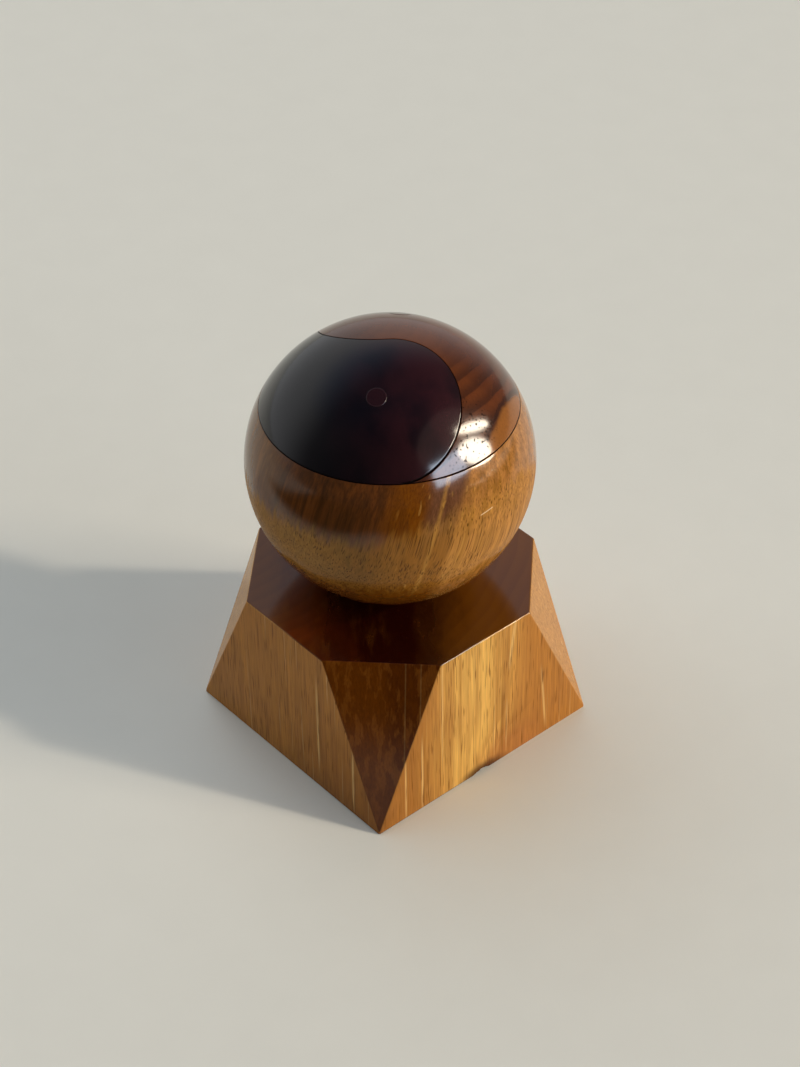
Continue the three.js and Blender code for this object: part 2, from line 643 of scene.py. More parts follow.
        # A flame of reddish wood rises from the foot of the +X side.
        flame = at.x.step(0.0, edge) * at.y.hump(13 * MM, 26 * MM) * at.z.hump(-4 * MM, 30 * MM)
        rings = self.fibres.rings(graph, at, flame * 2.6)
        hairs = self.fibres.hairs(graph, at)
        pores = self.fibres.pores(graph, at)
        colour = self.sides(graph, at, flame, rings, pores)
        colour = graph.mix(slope, colour, self.facets(graph, at, colour))
        colour = graph.shade(colour, hairs * 0.8 + 0.6)
        colour = graph.mix(end, colour, self.end_grain(graph, at, rings))
        colour = self.chip_marks(graph, at, colour)
        relief = (hairs * 0.35 + (1.0 - pores) * 0.65) * (1.0 - end * 0.85)
        waves = graph.noise(at, (0.012, 0.012, 0.03), 51.0)
        normal = graph.bump(relief, 0.06 * MM, graph.bump(waves, 0.08 * MM))
        weight = (slope * 0.1 + 0.45).larger(end)
        self.lacquer.finish(graph, colour, 0.5, normal, weight)
        return made


@dataclass(frozen=True)
class Ball:
    """The ball's place and seams, which its finishes and pieces share."""

    centre: Vector
    radius: float
    seam_low: float
    seam_high: float
    # Below the ball's face by these depths, the painted shade in the seams starts and is full.
    seam_shade_from: float = 0.03 * MM
    seam_shade_at: float = 0.14 * MM
    sanding_seed: float = 61.0

    def inside(self, at: Place) -> Signal:
        """How far a place lies inside a seam, for the painted shade down in its gap: 0 on the ball's
        face, 1 down in the gap.
        """
        return at.distance(self.centre).step(self.radius - self.seam_shade_from, self.radius - self.seam_shade_at)

    def uneven(self, graph: Graph, at: Place) -> bpy.types.NodeSocket:
        """The slightly uneven face that hand sanding left under the finish.

        Args:
            graph: the material's graph.
            at: the shaded point.

        Returns:
            The normal's socket.
        """
        broad = graph.noise(at, (0.012, 0.012, 0.012), self.sanding_seed)
        close = graph.noise(at, (0.0042, 0.0042, 0.0042), self.sanding_seed + 5.0, 1.0)
        fine = graph.noise(at, (0.0011, 0.0011, 0.0011), self.sanding_seed + 9.0, 0.0)
        rolling = graph.bump(close, 0.15 * MM, graph.bump(broad, 0.6 * MM))
        return graph.bump(fine, 0.005 * MM, rolling)


@dataclass(frozen=True)
class Scratch:
    """A short pale scratch, nearly level, on the golden side of the bowl."""

    rise: float = 7.1 * MM
    slope: float = 0.12
    half_width: float = 0.35 * MM
    middle: float = -0.4 * MM
    half_length: float = 3.4 * MM
    side_from: float = 40 * MM
    side_at: float = 42 * MM
    colour: Colour = (0.9, 0.75, 0.5)

    def mask(self, at: Place, level: float) -> Signal:
        """Where the scratch shows, from 0 to 1, as it lies above a level.

        Args:
            at: the shaded point.
            level: the height that it is measured from.

        Returns:
            The mask.
        """
        line = (at.z - at.y * self.slope - level).hump(self.rise, self.half_width)
        length = at.y.hump(self.middle, self.half_length).step(0.0, 0.25)
        return line * length * at.x.step(self.side_from, self.side_at)


@dataclass(frozen=True)
class BowlWood:
    """The ball under the seam: warm brown on one side, golden on the other."""

    ball: Ball
    fibres: Fibres = Fibres(seed=9.0, heart=(0.06, -0.10), ring_width=0.0062, pore_share=0.75)
    lean: tuple[float, float] = (0.12, 0.24)
    streak_across: float = 13.5 * MM
    streak_half_width: float = 1.2 * MM
    scratch: Scratch = Scratch()
    gold: Colour = (0.41, 0.18, 0.044)
    straw: Colour = (0.54, 0.275, 0.055)
    ochre: Colour = (0.27, 0.115, 0.020)
    amber: Colour = (0.165, 0.048, 0.0015)
    mauve: Colour = (0.14, 0.062, 0.032)
    brown: Colour = (0.132, 0.041, 0.008)
    umber: Colour = (0.070, 0.024, 0.006)
    pore: Colour = (0.06, 0.022, 0.005)
    # The near black of the painted shade down in the seam's gap.
    gap: Colour = (0.006, 0.003, 0.002)
    lacquer: Lacquer = Lacquer(roughness=0.13)

    def zones(
        self, graph: Graph, across: Signal, height: Signal, cloud: Signal, strands: Signal
    ) -> bpy.types.NodeSocket:
        """The wood's own colours from left to right: brown, amber, mauve, gold.

        Args:
            graph: the material's graph.
            across: how far to the right a place lies, seen from the front.
            height: how high it lies.
            cloud: the slow change in the wood.
            strands: the long soft strands.

        Returns:
            The colour.
        """
        drift = (cloud - 0.5) * (9 * MM)
        place = across + drift
        middle = self.ball.centre.z
        high = height.step(middle - 2 * MM, middle + 8 * MM)
        gold = graph.mix(strands.step(0.3, 0.6), self.ochre, self.gold)
        return graph.stain(
            graph.mix(strands.step(0.35, 0.65), self.umber, self.brown),
            (place.step(-38 * MM, -48 * MM), 0.4, self.ochre),
            (place.step(-9 * MM, -1 * MM), 0.9, self.amber),
            (place.step(7 * MM, 12 * MM) * high, 0.8, self.mauve),
            ((place - drift * 0.7).step(18.5 * MM, 22.5 * MM), 1.0, gold),
        )

    def wear_and_floor_sheen(self, at: Place, cloud: Signal, strands: Signal) -> Signal:
        """The paler girdle, from 0 to 1: the finish is thinner there, and its paler colour is partly a
        painted reflection of the floor.

        Args:
            at: the shaded point.
            cloud: the slow change in the wood.
            strands: the long soft strands.

        Returns:
            The girdle.
        """
        middle = self.ball.centre.z
        ragged = (cloud - 0.5) * (10 * MM) + (strands - 0.5) * (16 * MM)
        height = at.z + ragged
        top = at.x.step(36 * MM, 50 * MM) * (9 * MM) + (middle + 3 * MM)
        return (height - top).step(4 * MM, -4 * MM) * height.step(middle - 27 * MM, middle - 18 * MM)

    def material(self) -> bpy.types.Material:
        """Builds the material.

        Returns:
            The material.
        """
        made, graph = new_material("bowl_wood")
        point, middle = graph.here(), self.ball.centre.z
        at = point.leaned(*self.lean, level=middle)
        across = at.turned(FRONT_TURN).x
        cloud = graph.noise(at, (0.02, 0.02, 0.05), 14.4, 3.0)
        strands = self.fibres.strands(graph, at)
        hairs = self.fibres.hairs(graph, at)
        pores = self.fibres.pores(graph, at)
        wear_and_floor_sheen = self.wear_and_floor_sheen(point, cloud, strands)
        pale = self.fibres.pale_lines(graph, at) * across.step(-6 * MM, 10 * MM)
        streak = across.hump(self.streak_across, self.streak_half_width)
        colour = graph.stain(
            self.zones(graph, across, point.z, cloud, strands),
            (self.fibres.rings(graph, at), 0.25, self.umber),
            # The girdle's paler colour: partly worn finish and partly a painted reflection of the floor.
            (wear_and_floor_sheen, across.step(-4 * MM, -30 * MM) * 0.18 + 0.28, self.straw),
            (point.z.step(middle - 12 * MM, middle - 22 * MM), 0.3, self.amber),
            (pale, 0.5, self.straw),
            (streak * point.z.step(86 * MM, 100 * MM), 0.45, self.straw),
            (pores, wear_and_floor_sheen * 0.45 + 0.3, self.pore),
        )
        colour = graph.stain(
            graph.shade(colour, hairs * 1.1 + 0.52),
            (self.scratch.mask(point, middle), 0.8, self.scratch.colour),
            # Painted shade down in the seam's gap.
            (self.ball.inside(point), 1.0, self.gap),
        )
        relief = hairs * 0.3 + (1.0 - pores) * 0.7
        normal = graph.bump(relief, 0.03 * MM, self.ball.uneven(graph, point))
        self.lacquer.finish(graph, colour, 0.45, normal, 1.0 - wear_and_floor_sheen * 0.7)
        return made


@dataclass(frozen=True)
class CapWood:
    """What the woods of the cap's two halves share: the place of the plug, seams and finish."""

    ball: Ball
    plug_axis: Vector
    plug_radius: float
    # The near black of the painted shade down in the seams' gaps.
    gap: Colour = (0.002, 0.001, 0.001)
    lacquer: Lacquer = Lacquer(roughness=0.13)

    def from_plug(self, at: Place) -> Signal:
        """The distance from the middle of the plug's face."""
        return at.distance(self.ball.centre + self.plug_axis * self.ball.radius)

    def on_plug(self, from_plug: Signal) -> Signal:
        """Where the plug's face lies, from 0 to 1, with a soft edge."""
        return from_plug.step(self.plug_radius, self.plug_radius * 0.9)

    def seamed(
        self, graph: Graph, at: Place, colour: bpy.types.NodeSocket, hairs: Signal
    ) -> bpy.types.NodeSocket:
        """The colour shaded by the fine strands, with painted shade down in the seams."""
        colour = graph.shade(colour, hairs * 0.5 + 0.75)
        return graph.mix(self.ball.inside(at), colour, self.gap)


@dataclass(frozen=True)
class BrownCapWood(CapWood):
    """The brown half of the cap: red-brown with dark bands, golden past one strong dark line."""

    fibres: Fibres = Fibres(seed=17.0, heart=(-0.022, -0.005), ring_width=0.0046, wander=0.8)
    chestnut: Colour = (0.085, 0.021, 0.005)
    rust: Colour = (0.118, 0.030, 0.006)
    walnut: Colour = (0.030, 0.008, 0.003)
    gold: Colour = (0.26, 0.094, 0.016)
    pit: Colour = (0.02, 0.008, 0.004)
    # The near black of the painted shade down in the seams' gaps.
    gap: Colour = (0.006, 0.003, 0.002)
    line_azimuth: float = 28.8
    line_reach: float = 40.1 * MM
    line_half_width: float = 1.1 * MM
    pits_from_centre: Vector = Vector((38, 1, 33)) * MM

    def pits(self, graph: Graph, at: Place) -> Signal:
        """The small pits in the finish, most of them in one patch, from 0 to 1.

        Args:
            graph: the material's graph.
            at: the shaded point.

        Returns:
            The pits.
        """
        spots = graph.noise(at, (0.0009, 0.0009, 0.0009), 41.0, 0.0).step(0.67, 0.72)
        patch = at.distance(self.ball.centre + self.pits_from_centre).step(17 * MM, 8 * MM)
        return spots * (patch * 0.85 + 0.05)

    def material(self) -> bpy.types.Material:
        """Builds the material.

        Returns:
            The material.
        """
        made, graph = new_material("brown_cap_wood")
        at = graph.here()
        rings = self.fibres.rings(graph, at)
        hairs = self.fibres.hairs(graph, at)
        cloud = graph.noise(at, (0.018, 0.018, 0.03), 24.4, 3.0)
        close = graph.noise(at, (0.006, 0.006, 0.02), 26.0, 2.0)
        # One strong dark line parts the brown heart from golden wood at the rim.
        along = at.turned(self.line_azimuth).x + (close - 0.5) * (1.3 * MM)
        outer = at.y.step(1 * MM, 9 * MM)
        golden = along.step(self.line_reach, self.line_reach + 1.5 * MM) * outer
        line = along.hump(self.line_reach, self.line_half_width) * outer
        pits = self.pits(graph, at)
        from_plug = self.from_plug(at)
        colour = graph.stain(
            graph.mix(cloud.step(0.35, 0.65), self.chestnut, self.rust),
            (rings, at.x.step(14 * MM, 26 * MM) * 0.6 + 0.08, self.walnut),
            (golden, 1.0, self.gold),
            (line, 0.8, self.walnut),
            (pits, 1.0, self.pit),
            (self.on_plug(from_plug), 0.35, self.walnut),
            (from_plug.hump(self.plug_radius, 0.35 * MM), 0.8, self.walnut),
        )
        normal = graph.bump(1.0 - pits, 0.05 * MM, self.ball.uneven(graph, at))
        self.lacquer.finish(graph, self.seamed(graph, at, colour, hairs), 0.4, normal, 1.0 - pits)
        return made


@dataclass(frozen=True)
class DarkCapWood(CapWood):
    """The dark half of the cap: near black, faintly purple, with a painted highlight ring round its plug.
    """

    fibres: Fibres = Fibres(seed=27.0)
    plum: Colour = (0.027, 0.0062, 0.0085)
    coal: Colour = (0.0035, 0.0018, 0.0035)
    # The pale colour painted as the highlight on the plug's polished edge.
    plug_edge_highlight: Colour = (0.05, 0.026, 0.032)

    def material(self) -> bpy.types.Material:
        """Builds the material.

        Returns:
            The material.
        """
        made, graph = new_material("dark_cap_wood")
        at = graph.here()
        hairs = self.fibres.hairs(graph, at)
        cloud = graph.noise(at, (0.014, 0.014, 0.03), 34.4, 3.0)
        to_right = (at.turned(FRONT_TURN).x + (cloud - 0.5) * (40 * MM)).step(-24 * MM, 26 * MM)
        from_plug = self.from_plug(at)
        # The plug is a touch redder, and a thin pale ring is painted round it as the highlight on its
        # polished edge.
        colour = graph.stain(
            graph.mix(to_right, self.coal, self.plum),
            (cloud.step(0.55, 0.3), 0.6, self.coal),
            (self.on_plug(from_plug), 0.6, self.plum),
            (from_plug.hump(self.plug_radius - 0.15 * MM, 0.5 * MM), 0.35, self.plug_edge_highlight),
        )
        normal = graph.bump(hairs, 0.01 * MM, self.ball.uneven(graph, at))
        self.lacquer.finish(graph, self.seamed(graph, at, colour, hairs), 0.42, normal)
        return made


# ---------------------------------------------------------------- shaping


def direction(azimuth: float, elevation: float) -> Vector:
    """The unit vector towards an azimuth and an elevation in degrees."""
    turn, rise = math.radians(azimuth), math.radians(elevation)
    return Vector((math.cos(turn) * math.cos(rise), math.sin(turn) * math.cos(rise), math.sin(rise)))


def to_object(name: str, shape: bmesh.types.BMesh) -> bpy.types.Object:
    """Turns a bmesh into an object at the origin, with its faces pointing out.

    Args:
        name: the piece's name.
        shape: the finished shape, which is freed.

    Returns:
        The object.
    """
    bmesh.ops.recalc_face_normals(shape, faces=shape.faces)
    mesh = bpy.data.meshes.new(name)
    shape.to_mesh(mesh)
    shape.free()
    made = bpy.data.objects.new(name, mesh)
    bpy.context.scene.collection.objects.link(made)
    return made


def carve(piece: bpy.types.Object, cutter: bpy.types.Object) -> None:
    """Cuts one closed shape out of another and throws the cutter away.

    Args:
        piece: what is cut.
        cutter: the shape that is cut out.
    """
    cut = piece.modifiers.new("carve", "BOOLEAN")
    cut.operation = "DIFFERENCE"
    cut.solver = "EXACT"
    cut.object = cutter
    bpy.context.view_layer.update()
    carved = bpy.data.meshes.new_from_object(piece.evaluated_get(bpy.context.evaluated_depsgraph_get()))
    piece.modifiers.clear()
    worn_out = piece.data
    piece.data = carved
    bpy.data.meshes.remove(worn_out)
    bpy.data.objects.remove(cutter)


def smooth_curved_faces(piece: bpy.types.Object, sharp_over: float) -> None:
    """Shades a piece smooth, with its edges sharp over an angle in degrees.

    Args:
        piece: the piece.
        sharp_over: the angle between faces over which an edge stays sharp.
    """
    for face in piece.data.polygons:
        face.use_smooth = True
    piece.data.set_sharp_from_angle(angle=math.radians(sharp_over))


def turned_solid(
    name: str, profile: Sequence[tuple[float, float]], steps: int, place: Matrix
) -> bpy.types.Object:
    """A solid of revolution, spun about its own upright axis and then placed.

    Args:
        name: the object's name.
        profile: radius and height of each point, from the axis back to the axis.
        steps: how many steps make the full turn.
        place: where it goes.

    Returns:
        The object.
    """
    shape = bmesh.new()
    points = [shape.verts.new((radius, 0.0, height)) for radius, height in profile]
    edges = [shape.edges.new(pair) for pair in zip(points, points[1:])]
    bmesh.ops.spin(
        shape,
        geom=points + edges,
        cent=(0, 0, 0),
        axis=(0, 0, 1),
        angle=math.tau,
        steps=steps,
        use_merge=True,
    )
    bmesh.ops.remove_doubles(shape, verts=shape.verts, dist=WELD / 10)
    bmesh.ops.transform(shape, matrix=place, verts=shape.verts)
    return to_object(name, shape)


def arc(
    centre: tuple[float, float], radius: float, start: float, end: float, steps: int
) -> list[tuple[float, float]]:
    """Points along an arc, its angles in degrees from the first axis."""
    angles = [math.radians(start + (end - start) * i / steps) for i in range(steps + 1)]
    return [(centre[0] + radius * math.cos(a), centre[1] + radius * math.sin(a)) for a in angles]


# ---------------------------------------------------------------- the block


@dataclass
class FacetedBlock:
    """The block: square at the foot, a regular octagon on top, four upright sides."""

    side: float
    height: float
    ball: Ball
    arris: float = 0.45 * MM
    arris_steps: int = 4
    seat_clearance: float = 0.25 * MM
    seat_steps: int = 96
    chip_y: float = -1.0 * MM
    chip_half_sizes: Size = (1.1 * MM, 4.0 * MM, 1.3 * MM)
    chip_top: float = 4 * MM
    small_face: float = (2 * MM) ** 2

    def build(self) -> bpy.types.Object:
        """Saws the block from a box, eases its arrises and cuts the dish and the chip.

        Returns:
            The block.
        """
        shape = bmesh.new()
        bmesh.ops.create_cube(shape, size=1.0)
        bmesh.ops.scale(shape, vec=(self.side, self.side, self.height), verts=shape.verts)
        bmesh.ops.translate(shape, vec=(0, 0, self.height / 2), verts=shape.verts)
        for quarter in range(4):
            self._saw_corner(shape, Matrix.Rotation(quarter * math.pi / 2, 3, "Z"))
        bmesh.ops.bevel(
            shape,
            geom=shape.edges[:],
            offset=self.arris,
            offset_type="OFFSET",
            segments=self.arris_steps,
            profile=0.5,
            affect="EDGES",
            clamp_overlap=True,
            material=-1,
        )
        block = to_object("block", shape)
        carve(block, self._dish_cutter())
        carve(block, self._chip_cutter())
        smooth_curved_faces(block, sharp_over=40)
        # The large sawn faces stay flat, and only the arrises, the seat and the chip are smooth.
        for face in block.data.polygons:
            face.use_smooth = face.area < self.small_face or face.center.z < self.chip_top
        return block

    def _saw_corner(self, shape: bmesh.types.BMesh, turn: Matrix) -> None:
        """Cuts one corner off along the plane from the foot's corner to the octagon's side.

        Args:
            shape: the block so far.
            turn: the turn about the upright that brings the corner round.
        """
        edge = self.side / 2
        flat = edge * math.tan(math.pi / 8)
        foot = turn @ Vector((edge, edge, 0))
        left = turn @ Vector((flat, edge, self.height))
        right = turn @ Vector((edge, flat, self.height))
        outward = (left - foot).cross(right - foot).normalized()
        cut = bmesh.ops.bisect_plane(
            shape,
            geom=shape.verts[:] + shape.edges[:] + shape.faces[:],
            dist=WELD,
            plane_co=foot,
            plane_no=outward,
            clear_outer=True,
        )
        rim = [item for item in cut["geom_cut"] if isinstance(item, bmesh.types.BMEdge)]
        bmesh.ops.contextual_create(shape, geom=rim)

    def _dish_cutter(self) -> bpy.types.Object:
        """A ball that cuts the shallow dish the turned ball sits in.

        Returns:
            The cutter.
        """
        shape = bmesh.new()
        radius = self.ball.radius + self.seat_clearance
        around, upward = self.seat_steps, 2 * self.seat_steps
        bmesh.ops.create_uvsphere(shape, u_segments=around, v_segments=upward, radius=radius)
        bmesh.ops.translate(shape, vec=self.ball.centre, verts=shape.verts)
        return to_object("dish_cutter", shape)

    def _chip_cutter(self) -> bpy.types.Object:
        """A lump that knocks the chip out of the lower edge of the +X side.

        Returns:
            The cutter.
        """
        shape = bmesh.new()
        bmesh.ops.create_icosphere(shape, subdivisions=4, radius=1.0)
        # Two waves of different lengths make the broken edge ragged.
        for vert in shape.verts:
            long_wave = math.sin(5 * vert.co.y + 1) * 0.12
            short_wave = math.sin(11 * vert.co.y + 4 * vert.co.z) * 0.08
            vert.co *= 1 + (long_wave + short_wave)
        bmesh.ops.scale(shape, vec=self.chip_half_sizes, verts=shape.verts)
        bmesh.ops.translate(shape, vec=(self.side / 2, self.chip_y, 0), verts=shape.verts)
        return to_object("chip_cutter", shape)

    def dress(self, block: bpy.types.Object) -> None:
        """Gives the block its wood and its place in the model.

        Args:
            block: the finished block.
        """
        block.data.materials.append(BlockWood(self.side, self.chip_y).material())
        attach(block, BODY)
        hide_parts("faceted_block")


# ---------------------------------------------------------------- the ball


@dataclass
class Bowl:
    """The ball under the level seam, with its rim eased."""

    ball: Ball
    around: int = 256
    wall_steps: int = 110
    rim_steps: int = 5
    easing: float = 0.16 * MM

    def build(self) -> bpy.types.Object:
        """Spins the bowl from its profile: up the ball, over the eased rim, in to the axis.

        Returns:
            The bowl.
        """
        level = self.ball.seam_low - self.ball.centre.z
        radius = self.ball.radius
        # The eased rim is a small arc that touches the ball inside and the flat seam from below.
        heart_level = level - self.easing
        heart_reach = math.sqrt((radius - self.easing) ** 2 - heart_level**2)
        leave = math.degrees(math.atan2(heart_level, heart_reach))
        wall = arc((0, 0), radius, -90, leave, self.wall_steps)
        rim = arc((heart_reach, heart_level), self.easing, leave, 90, self.rim_steps)
        inner = [(heart_reach * share, level) for share in (0.75, 0.5, 0.25)]
        profile = [(0.0, -radius)] + wall[1:] + rim[1:] + inner + [(0.0, level)]
        place = Matrix.Translation(self.ball.centre)
        bowl = turned_solid("bowl", profile, self.around, place)
        smooth_curved_faces(bowl, sharp_over=30)
        return bowl

    def dress(self, bowl: bpy.types.Object) -> None:
        """Gives the bowl its wood and its place in the model.

        Args:
            bowl: the finished bowl.
        """
        bowl.data.materials.append(BowlWood(self.ball).material())
        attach(bowl, BODY)
        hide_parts("sphere_bowl")


class Half(Enum):
    """Which half of the cap a piece belongs to, and how far it is turned about the upright."""

    DARK = 0.0
    BROWN = math.pi

    @property
    def title(self) -> str:
        """The half's name in lower case."""
        return self.name.lower()


@dataclass
class CapHalf:
    """One comma-shaped half of the cap, made with its head towards +X and then turned."""

    ball: Ball
    half: Half
    gap: float = 0.3 * MM
    lobe_turn: float = math.radians(-36)
    easing: float = 0.16 * MM
    rows: int = 26
    head_steps: int = 72
    tail_steps: int = 150
    row_crowding: float = 2.4
    narrowing: float = math.radians(12)
    halvings: int = 50

    @property
    def turn(self) -> Matrix:
        """The turn about the upright that brings the half to its place."""
        return Matrix.Rotation(self.lobe_turn + self.half.value, 4, "Z")

    @property
    def rim_angle(self) -> float:
        """The polar angle of the eased rim, where it meets the underside."""
        level = self.ball.seam_high - self.ball.centre.z
        return math.acos(level / (self.ball.radius - self.easing))

    @property
    def rim_reach(self) -> float:
        """The rim's plan radius before it is eased."""
        return self.ball.radius * math.sin(self.rim_angle)

    def _on_comma(self, outer: bool, along: float) -> tuple[Vector, Vector]:
        """A place on the comma's outline and the nearest place on its spine, in plan.

        Args:
            outer: True for the side on the rim, False for the S-shaped side.
            along: 0 at the head, 1 at the tail's tip.

        Returns:
            The outline's point and the spine's point.
        """
        small = self.rim_reach / 2
        focus = Vector((-small, 0.0))
        reach_sum = self.rim_reach + small + self.gap / 2
        # The spine is the ellipse of places as far from the rim as from the other half's head.
        middle = focus / 2
        long_half = reach_sum / 2
        short_half = math.sqrt(long_half**2 - (small / 2) ** 2)
        end = self._tail_angle(middle, long_half, short_half)
        angle = end * along
        spine = middle + Vector((long_half * math.cos(angle), -short_half * math.sin(angle)))
        if outer:
            outline = spine.normalized() * self.rim_reach
        else:
            outline = focus + (spine - focus).normalized() * (small + self.gap / 2)
        return outline, spine

    def _tail_angle(self, middle: Vector, long_half: float, short_half: float) -> float:
        """The ellipse's angle at which the spine runs out at the rim, by halving.

        Args:
            middle: the ellipse's middle.
            long_half: half of its long axis.
            short_half: half of its short axis.

        Returns:
            The angle in radians.
        """
        low, high = math.radians(90), math.pi
        for _ in range(self.halvings):
            trial = (low + high) / 2
            spine = middle + Vector((long_half * math.cos(trial), -short_half * math.sin(trial)))
            low, high = (trial, high) if spine.length < self.rim_reach else (low, trial)
        return low

    def _on_head(self, along: float) -> tuple[Vector, Vector]:
        """A place on the head's round outline, from rim to tail, and the head's centre.

        Args:
            along: 0 on the rim, 1 where the tail starts.

        Returns:
            The outline's point and the head's centre.
        """
        small = self.rim_reach / 2
        centre = Vector((small + self.gap / 4, 0.0))
        angle = math.pi * along
        # The outline starts on the rim and draws in by half of the gap as it leaves it.
        reach = small - self.gap / 2 * min(1.0, angle / self.narrowing)
        outline = Vector((small, 0.0)) + reach * Vector((math.cos(angle), math.sin(angle)))
        return outline, centre

    def _patch(
        self, shape: bmesh.types.BMesh, steps: int, outline: Callable[[float], tuple[Vector, Vector]]
    ) -> None:
        """Lays a grid between the outline and the spine, its rows crowded towards the outline.

        Args:
            shape: the half so far.
            steps: how many steps follow the outline.
            outline: gives the points on the outline and on the spine for a share of the way.
        """
        made = bmesh.ops.create_grid(shape, x_segments=steps, y_segments=self.rows, size=0.5)
        for vert in made["verts"]:
            edge, spine = outline(vert.co.x + 0.5)
            share = (vert.co.y + 0.5) ** self.row_crowding
            vert.co = edge.lerp(spine, share).to_3d()

    def _lift(self, plan: Vector) -> Vector:
        """The place on the ball above a plan place, drawn in where it nears the outline.

        Args:
            plan: the place seen from above.

        Returns:
            The place, measured from the ball's centre.
        """
        small = self.rim_reach / 2
        reach = plan.length
        polar = math.asin(min(1.0, reach / self.ball.radius))
        to_rim = self.ball.radius * (self.rim_angle - polar)
        to_other = (plan - Vector((-small, 0, 0))).length - small - self.gap / 2
        to_head = small - self.gap / 2 - (plan - Vector((small, 0, 0))).length
        # Half of the head ends at its own round outline, and all the rest at the other half's head.
        in_head = plan.x > 0 and plan.y > 0
        near = max(0.0, min(to_rim, to_head if in_head else to_other))
        drop = 0.0
        if near < self.easing:
            drop = self.easing - math.sqrt(self.easing**2 - (self.easing - near) ** 2)
        outward = Vector((plan.x, plan.y, self.ball.radius * math.cos(polar))).normalized()
        return outward * (self.ball.radius - drop)

    def build(self) -> bpy.types.Object:
        """Lays the comma out in plan, lifts it onto the ball and closes it below.

        Returns:
            The half.
        """
        shape = bmesh.new()
        self._patch(shape, self.head_steps, self._on_head)
        for outer in (False, True):
            self._patch(shape, self.tail_steps, partial(self._on_comma, outer))
        bmesh.ops.remove_doubles(shape, verts=shape.verts, dist=WELD)
        for vert in shape.verts:
            vert.co = self._lift(vert.co)
        rim = [edge for edge in shape.edges if edge.is_boundary]
        walls = bmesh.ops.extrude_edge_only(shape, edges=rim)
        level = self.ball.seam_high - self.ball.centre.z
        foot = [item for item in walls["geom"] if isinstance(item, bmesh.types.BMVert)]
        for vert in foot:
            vert.co.z = level
        bmesh.ops.remove_doubles(shape, verts=shape.verts, dist=WELD)
        open_edges = [edge for edge in shape.edges if edge.is_boundary]
        bmesh.ops.contextual_create(shape, geom=open_edges)
        bmesh.ops.transform(
            shape, matrix=Matrix.Translation(self.ball.centre) @ self.turn, verts=shape.verts
        )
        piece = to_object(f"{self.half.title}_half", shape)
        smooth_curved_faces(piece, sharp_over=35)
        return piece

    def bore(self, piece: bpy.types.Object, plug_maker: "Plug") -> None:
        """Bores the plug's hole, and shades the new mesh that this makes."""
        carve(piece, plug_maker.hole())
        smooth_curved_faces(piece, sharp_over=35)

    def dress(self, piece: bpy.types.Object, plug: bpy.types.Object, plug_maker: "Plug") -> None:
        """Gives the half and its plug their wood and their place in the model.

        Args:
            piece: the finished half.
            plug: its plug.
            plug_maker: knows where the plug is.
        """
        kind = DarkCapWood if self.half is Half.DARK else BrownCapWood
        wood = kind(self.ball, plug_maker.axis, plug_maker.radius).material()
        for made, node in ((piece, f"{self.half.title}_cap_half"), (plug, f"{self.half.title}_plug")):
            made.data.materials.append(wood)
            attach(made, BODY)
            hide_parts(node)


@dataclass
class Plug:
    """A round plug let into one half of the cap, along a radius of the ball."""

    ball: Ball
    half: Half
    radius: float = 3.55 * MM
    clearance: float = 0.09 * MM
    length: float = 6.0 * MM
    easing: float = 0.2 * MM
    proud: float = 0.08 * MM
    steps: int = 72
    dome_steps: int = 12
    edge_steps: int = 4
    cutter_stand: float = 2 * MM

    @property
    def axis(self) -> Vector:
        """The way out along the ball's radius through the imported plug's middle."""
        low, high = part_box(f"{self.half.title}_plug")
        return ((low + high) / 2 - self.ball.centre).normalized()

    def place(self) -> Matrix:
        """The plug's axes, its own Z running out along the radius."""
        turn = self.axis.to_track_quat("Z", "Y").to_matrix().to_4x4()
        return Matrix.Translation(self.ball.centre) @ turn

    def build(self) -> bpy.types.Object:
        """Spins the plug, its face domed like the ball and its edge eased.

        Returns:
            The plug.
        """
        top = self.ball.radius + self.proud
        spread = math.degrees(math.asin((self.radius - self.easing) / top))
        dome = arc((0, 0), top, 90, 90 - spread, self.dome_steps)
        shoulder = dome[-1][1] - self.easing
        edge = arc((self.radius - self.easing, shoulder), self.easing, 90, 0, self.edge_steps)
        foot = self.ball.radius - self.length
        profile = [(0.0, top)] + dome[1:] + edge[1:] + [(self.radius, foot), (0.0, foot)]
        plug = turned_solid(f"{self.half.title}_plug_face", profile, self.steps, self.place())
        smooth_curved_faces(plug, sharp_over=35)
        return plug

    def hole(self) -> bpy.types.Object:
        """The cutter for the plug's hole.

        Returns:
            The cutter.
        """
        reach = self.radius + self.clearance
        foot = self.ball.radius - self.length - self.clearance
        top = self.ball.radius + self.cutter_stand
        profile = [(0.0, top), (reach, top), (reach, foot), (0.0, foot)]
        return turned_solid("hole_cutter", profile, self.steps, self.place())


# ---------------------------------------------------------------- the studio


class LampShape(Enum):
    """The outline of a lamp."""

    RECTANGLE = "RECTANGLE"
    ELLIPSE = "ELLIPSE"


class Job(Enum):
    """What a lamp is for: lighting the wood's own colour, or showing as a gleam in its gloss."""

    LIGHT = "light"
    GLEAM = "gleam"


def aimed(azimuth: float, elevation: float, distance: float, roll: float = 0.0) -> Matrix:
    """The place of a light that looks in at the origin, its angles in degrees.

    Args:
        azimuth: the way to the light, about the upright.
        elevation: how high it stands.
        distance: how far off it is.
        roll: how far it is turned about its own beam.

    Returns:
        The matrix that puts it there.
    """
    way = direction(azimuth, elevation)
    aim = (-way).to_track_quat("-Z", "Y").to_matrix().to_4x4()
    return Matrix.Translation(way * distance) @ aim @ Matrix.Rotation(math.radians(roll), 4, "Z")


